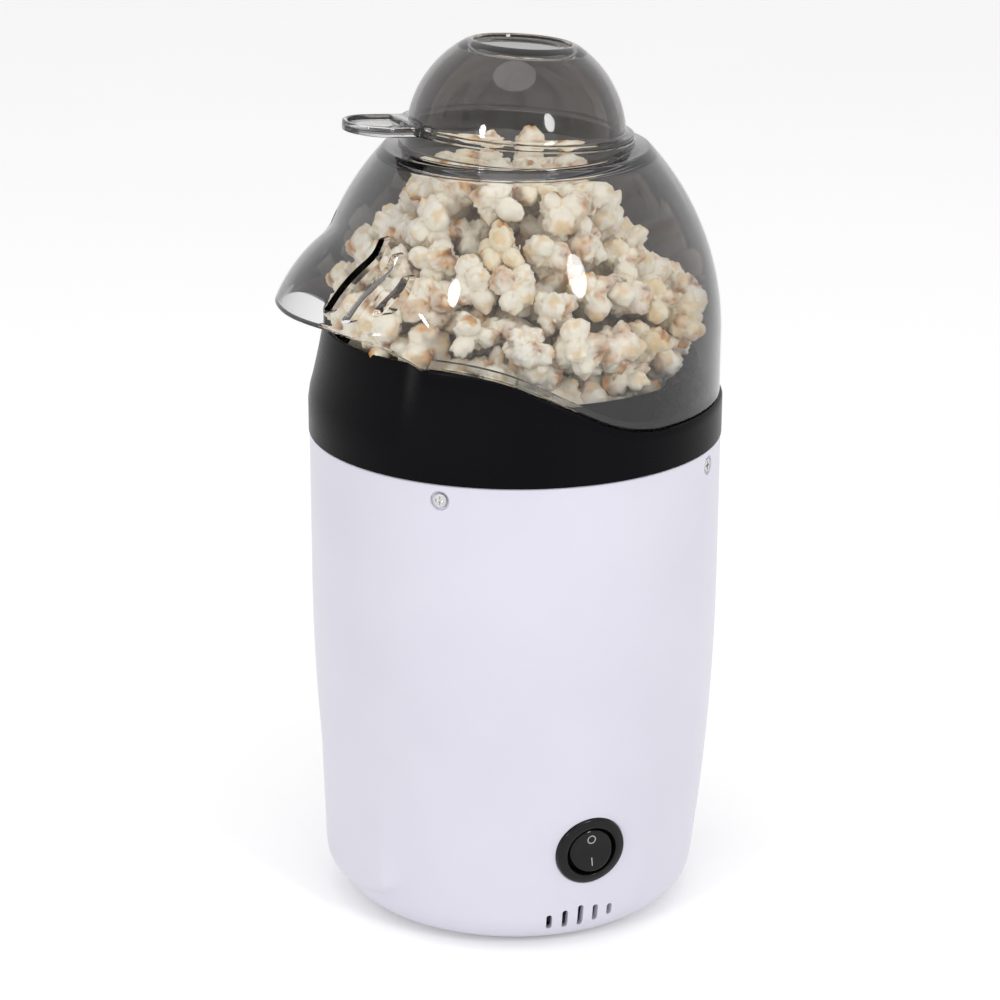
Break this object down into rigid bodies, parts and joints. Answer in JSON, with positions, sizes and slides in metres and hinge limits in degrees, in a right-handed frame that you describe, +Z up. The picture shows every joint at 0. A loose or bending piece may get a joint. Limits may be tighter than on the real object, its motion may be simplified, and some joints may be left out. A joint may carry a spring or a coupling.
{
  "type": "popcorn maker",
  "caption": "Hot-air popcorn maker with a round housing, black collar, clear hood with a beak-shaped chute, clear measuring cup stored in its neck, and a round rocker switch.",
  "frame": {"origin": "centre of the round housing, on the surface that the feet stand on", "axes": "+Z up; the chute faces -Y, the switch faces +X, the cord inlet faces +Y"},
  "size_m": [0.1318, 0.1434, 0.2821],
  "materials": {
    "white_plastic": "satin",
    "black_plastic": "glossy",
    "clear_hood": "clear, glossy",
    "clear_cup": "clear, glossy",
    "chamber_aluminium": "satin",
    "steel_sheet": "satin",
    "fibre_gasket": "matt",
    "mica": "satin",
    "resistance_wire": "dull",
    "thermostat_ceramic": "matt",
    "fuse_body": "satin",
    "plated_steel": "satin",
    "fan_plastic": "satin",
    "housing_plastic": "matt",
    "motor_steel": "satin",
    "magnet": "matt",
    "armature_copper": "satin",
    "end_cap_plastic": "matt",
    "circuit_board": "satin",
    "diode_body": "satin",
    "foot_rubber": "matt",
    "switch_black": "glossy",
    "terminal_brass": "satin",
    "gland_black": "matt",
    "block_nylon": "matt",
    "wire_black": "satin",
    "wire_red": "satin"
  },
  "bodies": {
    "base": {"body_shell": "white_plastic", "collar": "black_plastic", "popping_chamber": "chamber_aluminium", "chamber_gasket": "fibre_gasket", "heater_shroud": "steel_sheet", "mica_plate_lengthwise": "mica", "mica_plate_crosswise": "mica", "heating_coil": "resistance_wire", "thermostat": "thermostat_ceramic", "thermostat_rivets": "plated_steel", "thermal_fuse": "fuse_body", "fuse_clip": "steel_sheet", "fan_housing": "housing_plastic", "fan_housing_screws": "plated_steel", "flange_screws": "plated_steel", "collar_screws": "plated_steel", "motor_can": "motor_steel", "motor_magnets": "magnet", "motor_end_cap": "end_cap_plastic", "motor_screws": "plated_steel", "rectifier_board": "circuit_board", "rectifier_diodes": "diode_body", "base_plate": "white_plastic", "base_screws": "plated_steel", "rubber_feet": "foot_rubber", "switch_housing": "switch_black", "switch_terminals": "terminal_brass", "cord_gland": "gland_black", "gland_nut": "gland_black", "terminal_block": "block_nylon", "wire_block_to_switch": "wire_black", "wire_switch_to_thermostat": "wire_red", "wire_thermostat_to_fuse": "wire_red"},
    "hood": {"hood": "clear_hood"},
    "cup": {"measuring_cup": "clear_cup"},
    "rocker": {"switch_rocker": "switch_black"},
    "fan": {"fan_impeller": "fan_plastic", "motor_shaft": "motor_steel", "motor_armature": "armature_copper"}
  },
  "joints": [
    {"name": "hood_lift", "type": "slide", "parent": "base", "child": "hood", "axis": [0, 0, 1], "range_m": [0, 0.06]},
    {"name": "cup_lift", "type": "slide", "parent": "hood", "child": "cup", "axis": [0, 0.0698, 0.9976], "range_m": [0, 0.04]},
    {"name": "switch_rock", "type": "hinge", "parent": "base", "child": "rocker", "pos_m": [0.06, 0, 0.03519], "axis": [0, 1, 0], "range_deg": [0, 18]},
    {"name": "fan_spin", "type": "hinge", "parent": "base", "child": "fan", "pos_m": [0, 0, 0.05], "axis": [0, 0, 1], "continuous": true}
  ]
}
